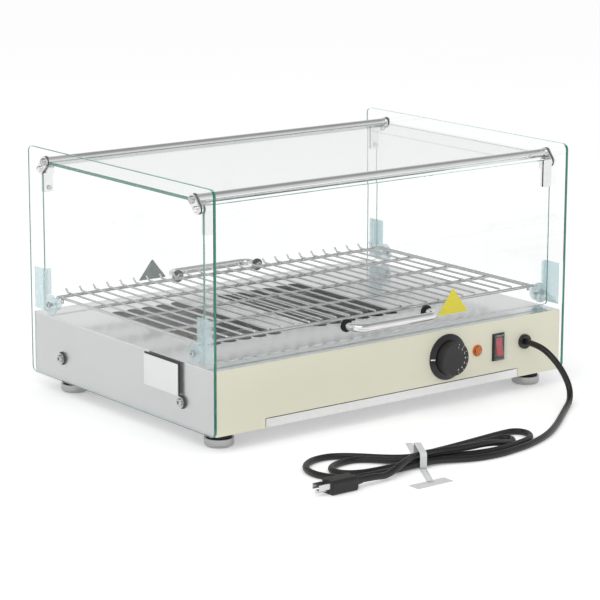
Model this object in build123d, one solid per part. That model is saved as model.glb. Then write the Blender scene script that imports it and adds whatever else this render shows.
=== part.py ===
from build123d import *
import math
import os

# Heated display case: a glass box on a low warming base, with a door at the front and one at the back.
# X runs across the front, Y from the front to the back, Z up from the surface it stands on. Millimetres.
# While it is modelled, Y is zero at mid depth. The last step moves it by origin_shift.

# Whole case
case_width = 559.0
case_depth = 406.4
glass_height = 296.5
glass_thickness = 4.0
glass_corner = 8.0
glass_bevel = 0.4
foot_height = 21.0
fit = 0.05              # radial play of a pin or screw in its hole
rest_gap = 0.3          # between pieces that move against each other

# Base
base_height = 79.7
base_setback = 2.9      # behind the front edge of the side glass
pad_thickness = 1.5     # rubber between side glass and base
pad_diameter = 17.0
sheet = 1.2
fold_share = 0.6        # rounding of the deck's side edges, of its sheet
panel_corner = 3.0
base_bolt_y = 133.5
base_bolt_height = 30.0
base_bolt_diameter = 5.0
base_bolt_head = 10.0
base_bolt_proud = 2.6
dome_share = 0.7        # how far a screw head's edge is rounded, of its height
bolt_washer_diameter = 14.0
bolt_washer_thickness = 1.0
nut_diameter = 9.0
nut_height = 4.0

# Deck slots
slot_width = 20.0
slot_pitch = 23.0
slot_front = 90.0       # ahead of mid depth
slot_rear = 133.0
slot_groups = ((-194.0, 5), (-29.0, 6))     # centre of the first slot, count

# Feet
foot_inset = 27.0       # from the side of the base
foot_front_y = -167.0
foot_rear_y = 152.0
foot_diameter = 36.5
foot_disc_height = 11.0
foot_neck_diameter = 31.0
foot_stud_diameter = 8.0
foot_rim_round = 1.0
foot_base_round = 4.0

# Crumb tray
tray_width = 403.0
tray_depth = 350.0
tray_lip_height = 10.7
tray_sheet = 1.0
tray_wall_height = 9.0
notch_margin = 1.0      # panel notch round the tray lip
runner_sheet = 1.2
runner_lip = 6.0

# Controls on the front panel, heights above the underside of the base
dial_x = 82.5
dial_height = 44.7
bezel_diameter = 59.0
bezel_face_diameter = 46.0
bezel_rim = 1.4
bezel_thickness = 4.6
knob_diameter = 43.0
knob_proud = 17.0
knob_edge = 1.5
knob_hub_diameter = 12.0
knob_front_wall = 4.0
knob_wall = 2.0
shaft_diameter = 6.0
shaft_flat = 2.2        # from its axis
shaft_grip = 9.0
shaft_clearance = 0.5
shaft_end = 4.0         # short of the knob's face
thermostat_width = 38.0
thermostat_height = 38.0
thermostat_depth = 30.0
thermostat_corner = 3.0
lamp_x = 132.0
lamp_height = 45.5
lamp_diameter = 15.0
lamp_proud = 5.5
lamp_rim = 1.5
lamp_body_diameter = 10.0
lamp_body_depth = 24.0
switch_x = 167.25
switch_height = 45.25
switch_width = 19.5
switch_tall = 35.5
switch_flange = 2.5
switch_body_width = 14.0
switch_body_tall = 28.0
switch_body_depth = 24.0
switch_wall = 1.5
switch_edge = 1.0
rocker_depth = 9.0
rocker_half_width = 5.0
rocker_face = 3.5       # ahead of the axle
rocker_dish = 1.0
rocker_end_gap = 0.8
rocker_taper = 0.8
rocker_tilt = 10.0
rocker_axle_diameter = 3.0
axle_half_length = 6.4
cover_proud = 6.5
cover_wall = 0.8
cover_margin = 1.5
cover_round = 1.5
gland_x = 212.0
gland_height = 46.0
gland_diameter = 19.0
gland_proud = 5.0
gland_neck_diameter = 14.0
gland_neck_depth = 8.0
gland_round = 1.5

# Heating parts inside the base
baffle_setback = 90.3   # behind the front panel's face
element_diameter = 8.0
element_height = 45.0
element_rear = 118.0
element_tail = 12.0
element_bend = 28.0
element_spread = (70.0, 92.0)
hanger_y = (-40.0, 80.0)
hanger_sheet = 1.5
hanger_margin = 8.0
bulb_diameter = 6.0
bulb_length = 80.0
bulb_height = 56.0
capillary_diameter = 2.0
capillary_bend = 2.5
terminal_inset = 36.0   # from the side of the base
terminal_setback = 62.3 # behind the front panel's face
terminal_width = 46.0
terminal_depth = 22.0
terminal_tall = 14.0
terminal_wall = 2.0
terminal_ways = 4
wire_diameter = 3.0
wire_bend = 5.0
terminal_groove = 6.0
switch_wire_height = 37.0
thermostat_wire_x = 95.0
thermostat_wire_height = 29.0
link_reach = 13.0
return_setback = 49.3   # behind the front panel's face
return_height = 21.0

# Top rails and hinges, from the bottom edge of the side glass
rail_diameter = 12.0
rail_y = 163.0
rail_height = 280.0
rail_groove = 3.5
groove_play = 0.3
rail_screw_diameter = 4.0
rail_screw_reach = 14.0
rail_screw_head = 10.0
rail_screw_proud = 3.0
top_glass_margin = 3.0
hinge_plate = 2.0
rail_lobe = 7.4
pivot_lobe = 6.5
pivot_y = 172.0
pivot_height = 270.0
pivot_pin_diameter = 4.0
pivot_pin_reach = 13.5  # inside the inner hinge plate
pivot_cap_diameter = 8.0
pivot_cap_proud = 4.5
spacer_diameter = 7.0

# Doors
door_offset = 4.5       # mid plane of the door glass outside the pivot
door_bottom = 83.0
door_top = 274.0
door_margin = 3.5       # beside the side glass
door_corner = 3.0
clip_width = 12.0
clip_leg = 2.2
clip_inner_leg = 3.0
clip_bridge = 1.5
clip_drop = 35.0
clip_boss_radius = 4.2
clip_boss_drop = 8.0
clip_round = 1.5
set_screw_diameter = 4.0
set_screw_head = 6.0
set_screw_proud = 1.8
set_screw_drop = 29.0
handle_spacing = 128.0
handle_height = 102.0
handle_diameter = 10.0
handle_reach = 25.0
handle_bend = 14.0
grip_washer_diameter = 16.0
grip_washer_thickness = 3.0
handle_screw_diameter = 4.0
handle_screw_grip = 8.0
handle_screw_head = 9.0
handle_screw_proud = 2.2
stop_plate = 1.5
stop_front = 196.0
stop_rear = 166.0
stop_bottom = 86.0
stop_top = 140.0
stop_rib_reach = 8.0
stop_rib_thickness = 3.2
stop_rib_bottom = 106.0

# Wire rack and its pegs
peg_y = 160.0
peg_height = 95.0
peg_flange_diameter = 26.0
peg_flange = 4.0
peg_diameter = 16.4
peg_length = 13.0
peg_chamfer = 1.0
peg_notch = 0.4
peg_screw_diameter = 4.0
peg_screw_reach = 9.0
peg_screw_head = 8.0
peg_screw_proud = 2.5
rod_diameter = 4.0
rod_end_gap = 7.5       # to the side glass
side_wire_gap = 11.5
side_wire_diameter = 3.5
inner_rod_end_gap = 9.5
rod_end_round = 1.4
outer_rod_y = 155.5
inner_rod_y = 77.75
cross_wire_diameter = 2.5
cross_wire_pitch = 20.75
cross_wire_margin = 15.0    # from a side wire
cross_wire_overhang = 3.0
wire_curl = 5.0
rack_leg_y = 148.5
rack_leg_drop = 6.0

# Power cord
cord_diameter = 8.0
hank_entry = (-10.0, -408.0)     # its first corner; the free cord and the hank meet half way to it
arc_share = 0.45
cord_route = (
    (212.0, -228.0, 67.0),
    (214.0, -249.0, 58.0),
    (220.0, -264.0, 41.0),
    (223.0, -276.0, 21.0),
    (213.0, -288.0, 7.0),
    (192.0, -303.0, 4.0),
    (162.0, -327.0, 4.2),
    (124.0, -357.0, 4.0),
    (84.0, -383.0, 4.1),
    (40.0, -399.5, 4.0),
)

# Hank of the rest of the cord, tied at its waist
waist_x = -106.0
waist_y = -372.0
strand_pitch = 9.2
layer_rise = 9.2
waist_lift = 1.4        # the strands lie on the tie at the waist
waist_run = 15.0        # straight each side of the tie, more for the inner strands
waist_run_step = 6.0
outer_strand = 1.5      # its place at the waist, in pitches from the middle
hank_loops = (
    # front flank, left and right loops (centre, reach, spread, lean), and the strand's place at the waist
    ((-50.0, -404.5), ((-185.0, -337.0), 58.0, 50.0, 0.0), ((50.0, -365.0), 27.0, 20.0, 0.3), 1.5),
    ((-14.0, -396.5), ((-176.0, -348.5), 42.0, 28.0, 0.0), ((26.0, -368.3), 15.0, 12.0, 0.2), 0.5),
)
left_turn = (-100.0, -300.0)
left_corners = 6
right_turn = (75.0, -75.0)
right_corners = 4
back_flank = (-40.0, -352.0)
top_flank = ((-12.0, -387.0), (-52.0, -389.0))
descent = ((-152.0, -393.5), (-178.0, -400.0))
plug_entry = (-217.0, -401.0)
plug_run = 18.0
gap_step = 3.0
gap_skip = 12
tie_width = 5.0
tie_thickness = 1.0
tie_gap = 0.4
tie_turn = 31.0         # its direction, clockwise from +Y
tie_front_tail = 78.0
tie_rear_tail = 96.0
tag_length = 52.0
tag_width = 24.0
tag_setback = 24.0
tie_corner = 4.0

# Plug
plug_length = 36.0
plug_width = 22.0
plug_height = 17.0
plug_neck_diameter = 12.0
plug_neck_length = 12.0
plug_neck_front = 9.0
plug_taper = 4.0
prong_length = 17.0
prong_width = 6.4
prong_thickness = 1.6
prong_spacing = 12.7
earth_pin_diameter = 4.8
earth_pin_offset = 5.0

# Places worked out from the sizes above
glass_outer_x = case_width / 2
glass_inner_x = glass_outer_x - glass_thickness
glass_half_depth = case_depth / 2
base_z = foot_height
glass_top_z = base_z + glass_height
base_half_width = glass_inner_x - pad_thickness
base_half_depth = glass_half_depth - base_setback
inner_half_width = base_half_width - sheet
panel_face_y = -base_half_depth
panel_back_y = panel_face_y + sheet
base_rear_y = base_half_depth - sheet
deck_z = base_z + base_height
deck_under_z = deck_z - sheet
floor_z = base_z + sheet
bolt_z = base_z + base_bolt_height
dial_z = base_z + dial_height
lamp_z = base_z + lamp_height
switch_z = base_z + switch_height
gland_z = base_z + gland_height
element_z = base_z + element_height
bulb_z = base_z + bulb_height
rail_z = base_z + rail_height
pivot_z = base_z + pivot_height
foot_x = base_half_width - foot_inset
baffle_y = panel_face_y + baffle_setback
terminal_x = base_half_width - terminal_inset
terminal_y = panel_face_y + terminal_setback
return_y = panel_face_y + return_setback
rail_half_length = glass_inner_x - hinge_plate
hinge_outer_x = glass_outer_x + hinge_plate
door_half_width = glass_inner_x - door_margin
door_inner_y = pivot_y + door_offset - glass_thickness / 2
door_outer_y = door_inner_y + glass_thickness
door_low_z = base_z + door_bottom
door_high_z = base_z + door_top
handle_z = base_z + handle_height
handle_y = door_outer_y + handle_reach
peg_z = base_z + peg_height
peg_end_x = glass_inner_x - peg_length
rod_seat = (peg_diameter + rod_diameter) / 2 + rest_gap
rack_z = peg_z + math.sqrt(rod_seat ** 2 - (peg_y - outer_rod_y) ** 2)
rod_reach = glass_inner_x - rod_end_gap
inner_rod_reach = glass_inner_x - inner_rod_end_gap
side_wire_x = glass_inner_x - side_wire_gap
cross_wire_reach = side_wire_x - cross_wire_margin
cross_wire_gaps = round(2 * cross_wire_reach / cross_wire_pitch)
tray_front_y = panel_face_y
tray_rear_y = tray_front_y + tray_depth
tray_floor_z = floor_z + rest_gap
tray_wall_z = tray_floor_z + tray_wall_height
tray_lip_z = (base_z + rest_gap, base_z + rest_gap + tray_lip_height)
notch_half_width = tray_width / 2 + notch_margin
notch_z = tray_lip_z[1] + notch_margin
runner_inner_x = tray_width / 2 + rest_gap
runner_outer_x = runner_inner_x + runner_sheet
runner_top_z = tray_wall_z + rest_gap + runner_sheet
shaft_end_y = panel_face_y - knob_proud + shaft_end
thermostat_rear_y = panel_back_y + thermostat_depth
switch_wire_z = base_z + switch_wire_height
thermostat_wire_z = base_z + thermostat_wire_height
return_z = base_z + return_height
knob_face_y = panel_face_y - knob_proud
knob_back_y = panel_face_y - bezel_thickness - rest_gap
gland_face_y = panel_face_y - gland_proud

# The front reach is the knob and the rear reach the door handle: the origin lies midway between them
front_reach = max(-knob_face_y, handle_y + handle_diameter / 2)
rear_reach = handle_y + handle_diameter / 2
origin_shift = (front_reach - rear_reach) / 2


def middle(pair):
    return (pair[0] + pair[1]) / 2


def block(x, y, z):
    """box between two values on each axis"""
    size = (abs(x[1] - x[0]), abs(y[1] - y[0]), abs(z[1] - z[0]))
    return Pos(middle(x), middle(y), middle(z)) * Box(*size)


def rod_x(x, y, z, diameter):
    """round bar along X, from one value of x to the other"""
    return Pos(middle(x), y, z) * Rot(0, 90, 0) * Cylinder(diameter / 2, abs(x[1] - x[0]))


def rod_y(x, y, z, diameter):
    return Pos(x, middle(y), z) * Rot(90, 0, 0) * Cylinder(diameter / 2, abs(y[1] - y[0]))


def rod_z(x, y, z, diameter):
    return Pos(x, y, middle(z)) * Cylinder(diameter / 2, abs(z[1] - z[0]))


def hole(diameter):
    """diameter of the hole that a pin or screw of this diameter goes through"""
    return diameter + 2 * fit


def other_side(shape):
    return mirror(shape, about=Plane.YZ)


def other_end(shape):
    return mirror(shape, about=Plane.XZ)


def left_and_right(shape):
    return [shape, other_side(shape)]


def four_corners(shape):
    return [shape, other_side(shape), other_end(shape), other_side(other_end(shape))]


def tube_along(path, diameter):
    return sweep(Plane(origin=path @ 0, z_dir=path % 0) * Circle(diameter / 2), path=path)


def turned(profile, x, z, face_y=panel_face_y):
    """solid turned about an axis out of the front panel, from pairs of radius and height above face_y"""
    body = revolve(make_face(Polyline(*profile, close=True)), Axis.Y, 360)
    return Pos(x, face_y, z) * Rot(0, 0, 180) * body


def rounded_front(shape, radius):
    """rounds the edges of a shape's front face"""
    return fillet(shape.faces().sort_by(Axis.Y)[0].edges(), radius)


def write(name, *shapes):
    solids = [solid for shape in shapes for solid in shape.solids()]
    whole = solids[0] if len(solids) == 1 else Compound(solids)
    export_step(Pos(0, origin_shift, 0) * whole, os.path.join("parts", name + ".step"))


# Glass

def side_glass():
    """right side glass with the holes for hinges, rails, pegs and base bolts"""
    pane = block((glass_inner_x, glass_outer_x), (-glass_half_depth, glass_half_depth), (base_z, glass_top_z))
    pane = fillet(pane.edges().filter_by(Axis.X), glass_corner)
    pane = chamfer(pane.faces().filter_by(Axis.X).edges(), glass_bevel)
    holes = (
        (pivot_y, pivot_z, pivot_pin_diameter),
        (rail_y, rail_z, rail_screw_diameter),
        (peg_y, peg_z, peg_screw_diameter),
        (base_bolt_y, bolt_z, base_bolt_diameter),
    )
    for y, z, diameter in holes:
        for end in (-1, 1):
            pane -= rod_x((glass_inner_x - glass_thickness, glass_outer_x), end * y, z, hole(diameter))
    return pane


def top_glass():
    half_width = glass_inner_x - top_glass_margin
    half_depth = rail_y - rail_diameter / 2 + rail_groove - groove_play
    pane = block((-half_width, half_width), (-half_depth, half_depth), (rail_z - glass_thickness, rail_z))
    return chamfer(pane.faces().filter_by(Axis.Z).edges(), glass_bevel)


def top_rail():
    """front rail: a round bar with a groove for the top glass and a screw hole in each end"""
    bar = rod_x((-rail_half_length, rail_half_length), -rail_y, rail_z, rail_diameter)
    groove_y = -rail_y + rail_diameter / 2 - rail_groove
    bar -= block(
        (-rail_half_length, rail_half_length),
        (groove_y, groove_y + rail_diameter),
        (rail_z - glass_thickness, rail_z + groove_play),
    )
    end_hole = rod_x((rail_half_length - rail_screw_reach, rail_half_length), -rail_y, rail_z,
                     hole(rail_screw_diameter))
    return bar - end_hole - other_side(end_hole)


def domed_screw(x_face, x_end, y, z, diameter, head, proud):
    """screw along X with a domed head outside x_face"""
    cap = rod_x((x_face, x_face + proud), y, z, head)
    cap = fillet(cap.faces().sort_by(Axis.X)[-1].edges(), proud * dome_share)
    return cap + rod_x((x_end, x_face), y, z, diameter)


# Hinges

def hinge_plate_at(x_start):
    """pear-shaped plate of the front right hinge, round the rail screw and the pivot pin"""
    lobes = (Pos(-rail_y, rail_z) * Circle(rail_lobe)).edges() + (Pos(-pivot_y, pivot_z) * Circle(pivot_lobe)).edges()
    plate = Pos(x_start, 0, 0) * extrude(Plane.YZ * make_hull(lobes), amount=hinge_plate)
    span = (x_start, x_start + hinge_plate)
    return plate - rod_x(span, -rail_y, rail_z, hole(rail_screw_diameter)) - rod_x(
        span, -pivot_y, pivot_z, hole(pivot_pin_diameter))


def hinge_pin():
    pin_end_x = rail_half_length - pivot_pin_reach
    return domed_screw(hinge_outer_x, pin_end_x, -pivot_y, pivot_z, pivot_pin_diameter, pivot_cap_diameter,
                       pivot_cap_proud)


def hinge_spacer():
    span = (door_half_width + rest_gap, rail_half_length)
    ring = rod_x(span, -pivot_y, pivot_z, spacer_diameter)
    return ring - rod_x(span, -pivot_y, pivot_z, hole(pivot_pin_diameter))


# Doors, modelled at the front: u runs outwards from the pivot, v up from it

def door_glass():
    pane = block((-door_half_width, door_half_width), (-door_outer_y, -door_inner_y), (door_low_z, door_high_z))
    pane = fillet(pane.edges().filter_by(Axis.Y).sort_by(Axis.Z)[:2], door_corner)
    pane = chamfer(pane.faces().filter_by(Axis.Y).edges(), glass_bevel)
    for side in (-1, 1):
        pane -= rod_y(side * handle_spacing / 2, (-door_outer_y, -door_inner_y), handle_z,
                      hole(handle_screw_diameter))
    return pane


def flat(u, v):
    return Pos(middle(u), middle(v)) * Rectangle(u[1] - u[0], v[1] - v[0])


def door_clip():
    """right clip of the front door: a channel over the top edge of the glass, with a boss round the pin"""
    glass_u = (door_inner_y - pivot_y, door_outer_y - pivot_y)
    leg_u = (glass_u[0] - clip_inner_leg, glass_u[1] + clip_leg)
    glass_v = door_high_z - pivot_z
    bottom_v = glass_v - clip_drop
    profile = flat(leg_u, (bottom_v, glass_v + clip_bridge))
    profile += flat((-clip_boss_radius, glass_u[0]), (-clip_boss_drop, 0)) + Circle(clip_boss_radius)
    profile -= flat(glass_u, (bottom_v, glass_v))
    profile = fillet(profile.vertices().sort_by(lambda v: v.X + v.Y)[-1], clip_round)
    plane = Plane(origin=(door_half_width, -pivot_y, pivot_z), x_dir=(0, -1, 0), z_dir=(-1, 0, 0))
    clip = extrude(plane * profile, amount=clip_width)
    clip -= rod_x((door_half_width - clip_width, door_half_width), -pivot_y, pivot_z, hole(pivot_pin_diameter))
    return clip - set_screw_shank(hole(set_screw_diameter))


def set_screw_shank(diameter):
    leg_y = (-door_inner_y, -door_inner_y + clip_inner_leg)
    return rod_y(door_half_width - clip_width / 2, leg_y, door_high_z - set_screw_drop, diameter)


def set_screw():
    head_y = -door_inner_y + clip_inner_leg
    head = rod_y(door_half_width - clip_width / 2, (head_y, head_y + set_screw_proud),
                 door_high_z - set_screw_drop, set_screw_head)
    return head + set_screw_shank(set_screw_diameter)


def door_handle():
    """bent bar with a screw hole in each end"""
    half = handle_spacing / 2
    foot_y = -door_outer_y - grip_washer_thickness
    path = FilletPolyline(
        (-half, foot_y, handle_z), (-half, -handle_y, handle_z), (half, -handle_y, handle_z),
        (half, foot_y, handle_z), radius=handle_bend)
    bar = tube_along(path, handle_diameter)
    for x in (-half, half):
        bar -= rod_y(x, (foot_y - handle_screw_grip, foot_y), handle_z, hole(handle_screw_diameter))
    return bar


def handle_washer(x):
    y = (-door_outer_y - grip_washer_thickness, -door_outer_y)
    return rod_y(x, y, handle_z, grip_washer_diameter) - rod_y(x, y, handle_z, hole(handle_screw_diameter))


def handle_screw(x):
    head = rod_y(x, (-door_inner_y, -door_inner_y + handle_screw_proud), handle_z, handle_screw_head)
    head = fillet(head.faces().sort_by(Axis.Y)[-1].edges(), handle_screw_proud * dome_share)
    end_y = -door_outer_y - grip_washer_thickness - handle_screw_grip
    return head + rod_y(x, (end_y, -door_inner_y), handle_z, handle_screw_diameter)


def door_stop():
    """clear stop of the front door on the right glass: a plate notched round the peg, with a rib"""
    plate_x = glass_inner_x - stop_plate
    stop_z = (base_z + stop_bottom, base_z + stop_top)
    plate = block((plate_x, glass_inner_x), (-stop_front, -stop_rear), stop_z)
    plate -= rod_x((plate_x, glass_inner_x), -peg_y, peg_z, peg_flange_diameter + 2 * peg_notch)
    rib_y = -door_inner_y + rest_gap
    return plate + block((plate_x - stop_rib_reach, plate_x), (rib_y, rib_y + stop_rib_thickness),
                         (base_z + stop_rib_bottom, base_z + stop_top))


# Rack

def rack_peg():
    flange = rod_x((glass_inner_x - peg_flange, glass_inner_x), -peg_y, peg_z, peg_flange_diameter)
    flange = fillet(flange.faces().sort_by(Axis.X)[0].edges(), peg_chamfer)
    hub = rod_x((peg_end_x, glass_inner_x - peg_flange), -peg_y, peg_z, peg_diameter)
    hub = chamfer(hub.faces().sort_by(Axis.X)[0].edges(), peg_chamfer)
    return flange + hub - rod_x((glass_inner_x - peg_screw_reach, glass_inner_x), -peg_y, peg_z,
                                hole(peg_screw_diameter))


def peg_screw():
    return domed_screw(glass_outer_x, glass_inner_x - peg_screw_reach, -peg_y, peg_z, peg_screw_diameter,
                       peg_screw_head, peg_screw_proud)


def rack_frame():
    """welded rods and side wires in one plane; the outer rods run out over the pegs"""
    frame = rod_y(side_wire_x, (-outer_rod_y, outer_rod_y), rack_z, side_wire_diameter)
    frame += other_side(frame)
    rods = ((outer_rod_y, rod_reach), (inner_rod_y, inner_rod_reach), (0, inner_rod_reach),
            (-inner_rod_y, inner_rod_reach), (-outer_rod_y, rod_reach))
    for y, reach in rods:
        rod = rod_x((-reach, reach), y, rack_z, rod_diameter)
        frame += fillet(rod.edges().filter_by(GeomType.CIRCLE), rod_end_round)
    return frame


def rack_wires():
    """cross wires on top of the rods, each turned up a little at its rear end"""
    z = rack_z + (rod_diameter + cross_wire_diameter) / 2
    pitch = 2 * cross_wire_reach / cross_wire_gaps
    rear_y = outer_rod_y + cross_wire_overhang
    wires = []
    for i in range(cross_wire_gaps + 1):
        x = -cross_wire_reach + i * pitch
        path = FilletPolyline((x, -outer_rod_y, z), (x, rear_y, z), (x, rear_y + wire_curl, z + wire_curl),
                              radius=cross_wire_diameter)
        wires.append(tube_along(path, cross_wire_diameter))
    return wires


def rack_leg():
    top_z = rack_z - side_wire_diameter / 2
    leg = rod_z(side_wire_x, -rack_leg_y, (top_z - rack_leg_drop, top_z), rod_diameter)
    return fillet(leg.faces().sort_by(Axis.Z)[0].edges(), rod_end_round)


# Base

def base_side():
    """right side sheet of the base"""
    wall = block((inner_half_width, base_half_width), (panel_back_y, base_rear_y), (base_z, deck_under_z))
    for end in (-1, 1):
        wall -= rod_x((inner_half_width, base_half_width), end * base_bolt_y, bolt_z, hole(base_bolt_diameter))
    return wall


def front_panel():
    panel = block((-base_half_width, base_half_width), (panel_face_y, panel_back_y), (base_z, deck_z))
    panel = fillet(panel.edges().filter_by(Axis.Y).sort_by(Axis.Z)[-2:], panel_corner)
    panel -= block((-notch_half_width, notch_half_width), (panel_face_y, panel_back_y), (base_z, notch_z))
    y = (panel_face_y, panel_back_y)
    panel -= rod_y(dial_x, y, dial_z, shaft_diameter + 2 * shaft_clearance)
    panel -= rod_y(lamp_x, y, lamp_z, hole(lamp_body_diameter))
    panel -= rod_y(gland_x, y, gland_z, hole(gland_neck_diameter))
    half_width = switch_body_width / 2 + fit
    half_tall = switch_body_tall / 2 + fit
    return panel - block((switch_x - half_width, switch_x + half_width), y,
                         (switch_z - half_tall, switch_z + half_tall))


def deck_plate():
    """top sheet of the base, with two groups of round-ended slots over the heating elements"""
    deck = block((-base_half_width, base_half_width), (panel_back_y, base_half_depth), (deck_under_z, deck_z))
    deck = fillet(deck.faces().sort_by(Axis.Z)[-1].edges().filter_by(Axis.Y), sheet * fold_share)
    slot_length = slot_front + slot_rear
    slot = extrude(SlotOverall(slot_length, slot_width, rotation=90), amount=sheet)
    for first_x, count in slot_groups:
        for i in range(count):
            deck -= Pos(first_x + i * slot_pitch, (slot_rear - slot_front) / 2, deck_under_z) * slot
    return deck


def bottom_plate():
    plate = block((-inner_half_width, inner_half_width), (panel_back_y + rest_gap, base_rear_y),
                  (base_z, floor_z))
    for x in (-foot_x, foot_x):
        for y in (foot_front_y, foot_rear_y):
            plate -= rod_z(x, y, (base_z, floor_z), hole(foot_stud_diameter))
    return plate


def heat_baffle():
    """upright sheet between the controls and the heating elements, clear above the tray"""
    y = (baffle_y, baffle_y + sheet)
    wall = block((-inner_half_width, inner_half_width), y, (runner_top_z + notch_margin, deck_under_z))
    for x in element_leg_x():
        wall -= rod_y(x, y, element_z, hole(element_diameter))
    return wall - rod_y(dial_x, y, bulb_z, hole(capillary_diameter))


def crumb_tray():
    half = tray_width / 2
    tray = block((-half, half), (tray_front_y, tray_rear_y), (tray_floor_z, tray_wall_z))
    inner = half - tray_sheet
    tray -= block((-inner, inner), (tray_front_y + tray_sheet, tray_rear_y - tray_sheet),
                  (tray_floor_z + tray_sheet, tray_wall_z))
    return tray + block((-half, half), (tray_front_y, tray_front_y + tray_sheet), tray_lip_z)


def tray_runner():
    """right runner: a wall beside the tray with a lip over its edge"""
    y = (panel_back_y + rest_gap, tray_rear_y)
    wall = block((runner_inner_x, runner_outer_x), y, (floor_z, runner_top_z))
    return wall + block((runner_outer_x - runner_lip, runner_outer_x), y,
                        (runner_top_z - runner_sheet, runner_top_z))


def base_bolt():
    face_x = glass_outer_x + bolt_washer_thickness
    return domed_screw(face_x, inner_half_width - nut_height, -base_bolt_y, bolt_z, base_bolt_diameter,
                       base_bolt_head, base_bolt_proud)


def washer(x, diameter):
    """washer on the front right base bolt"""
    ring = rod_x(x, -base_bolt_y, bolt_z, diameter)
    return ring - rod_x(x, -base_bolt_y, bolt_z, hole(base_bolt_diameter))


# Feet

def foot_disc(x, y):
    """steel foot with its stud up through the neck and the bottom of the base"""
    disc = rod_z(x, y, (0, foot_disc_height), foot_diameter)
    disc = fillet(disc.faces().sort_by(Axis.Z)[0].edges(), foot_base_round)
    disc = fillet(disc.faces().sort_by(Axis.Z)[-1].edges(), foot_rim_round)
    return disc + rod_z(x, y, (foot_disc_height, floor_z + foot_stud_diameter / 2), foot_stud_diameter)


def foot_neck(x, y):
    z = (foot_disc_height, base_z)
    return rod_z(x, y, z, foot_neck_diameter) - rod_z(x, y, z, hole(foot_stud_diameter))


# Controls

def dial_bezel():
    """dished ring behind the knob"""
    bore = shaft_diameter / 2 + shaft_clearance
    rim = bezel_diameter / 2
    face = bezel_face_diameter / 2
    profile = ((bore, 0), (rim, 0), (rim, bezel_rim), (face, bezel_thickness), (bore, bezel_thickness))
    return turned(profile, dial_x, dial_z)


def shaft_flat_cut(size, y):
    """what the flat takes off the shaft's end"""
    return block((dial_x - size, dial_x + size), y, (dial_z + shaft_flat, dial_z + size))


def control_knob():
    """round knob, hollow behind, with a hub on the flatted shaft"""
    y = (knob_face_y, knob_back_y)
    knob = rounded_front(rod_y(dial_x, y, dial_z, knob_diameter), knob_edge)
    recess_y = (knob_face_y + knob_front_wall, knob_back_y)
    recess = rod_y(dial_x, recess_y, dial_z, knob_diameter - 2 * knob_wall)
    knob -= recess - rod_y(dial_x, recess_y, dial_z, knob_hub_diameter)
    bore_y = (shaft_end_y, knob_back_y)
    bore = rod_y(dial_x, bore_y, dial_z, hole(shaft_diameter))
    return knob - (bore - Pos(0, 0, fit) * shaft_flat_cut(shaft_diameter, bore_y))


def thermostat_shaft():
    root_y = panel_back_y + shaft_grip
    shaft = rod_y(dial_x, (shaft_end_y, root_y), dial_z, shaft_diameter)
    return shaft - shaft_flat_cut(shaft_diameter, (shaft_end_y, knob_back_y))


def thermostat_body():
    half_width = thermostat_width / 2
    half_height = thermostat_height / 2
    y = (panel_back_y, thermostat_rear_y)
    body = block((dial_x - half_width, dial_x + half_width), y, (dial_z - half_height, dial_z + half_height))
    body = fillet(body.edges().filter_by(Axis.Y), thermostat_corner)
    return body - rod_y(dial_x, (panel_back_y, panel_back_y + shaft_grip), dial_z, hole(shaft_diameter))


def lamp_lens():
    rim = rod_y(lamp_x, (panel_face_y - lamp_rim, panel_face_y), lamp_z, lamp_diameter)
    dome = rod_y(lamp_x, (panel_face_y - lamp_proud, panel_face_y), lamp_z, lamp_diameter - 2 * lamp_rim)
    return rim + rounded_front(dome, lamp_proud - lamp_rim)


def lamp_body():
    return rod_y(lamp_x, (panel_face_y, panel_face_y + lamp_body_depth), lamp_z, lamp_body_diameter)


def switch_box(half_width, half_tall, y):
    return block((switch_x - half_width, switch_x + half_width), y, (switch_z - half_tall, switch_z + half_tall))


def switch_frame():
    """flange and body of the power switch, open at the front for the rocker"""
    flange_y = panel_face_y - switch_flange
    frame = rounded_front(switch_box(switch_width / 2, switch_tall / 2, (flange_y, panel_face_y)), switch_edge)
    frame += switch_box(switch_body_width / 2, switch_body_tall / 2,
                        (panel_face_y, panel_face_y + switch_body_depth))
    frame -= switch_box(rocker_half_width + rest_gap, switch_body_tall / 2 - switch_wall,
                        (flange_y, panel_face_y + rocker_depth))
    axle_x = (switch_x - axle_half_length, switch_x + axle_half_length)
    return frame - rod_x(axle_x, panel_face_y, switch_z, hole(rocker_axle_diameter))


def switch_rocker():
    """rocker on its axle, pressed in at the top; its face is hollowed towards the middle"""
    half_tall = switch_body_tall / 2 - switch_wall - rocker_end_gap
    back = rocker_depth / 2 - rest_gap
    outline = Polyline((-rocker_face, 0), (-rocker_face - rocker_dish, half_tall), (back, half_tall * rocker_taper),
                       (back, -half_tall * rocker_taper), (-rocker_face - rocker_dish, -half_tall), close=True)
    body = extrude(Plane.YZ * make_face(outline), amount=rocker_half_width, both=True)
    axle = rod_x((-axle_half_length, axle_half_length), 0, 0, rocker_axle_diameter)
    return Pos(switch_x, panel_face_y, switch_z) * Rot(-rocker_tilt, 0, 0) * (body + axle)


def switch_cover():
    """clear hood over the rocker"""
    flange_y = panel_face_y - switch_flange
    half_width = switch_width / 2 - cover_margin
    half_tall = switch_tall / 2 - cover_margin
    hood = rounded_front(switch_box(half_width, half_tall, (flange_y - cover_proud, flange_y)), cover_round)
    inner = switch_box(half_width - cover_wall, half_tall - cover_wall,
                       (flange_y - cover_proud + cover_wall, flange_y))
    return hood - inner


def cord_gland():
    collar = rounded_front(rod_y(gland_x, (gland_face_y, panel_face_y), gland_z, gland_diameter), gland_round)
    return collar + rod_y(gland_x, (panel_face_y, panel_face_y + gland_neck_depth), gland_z, gland_neck_diameter)


# Heating parts

def element_centres():
    return [first_x + slot_pitch * (count - 1) / 2 for first_x, count in slot_groups]


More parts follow.
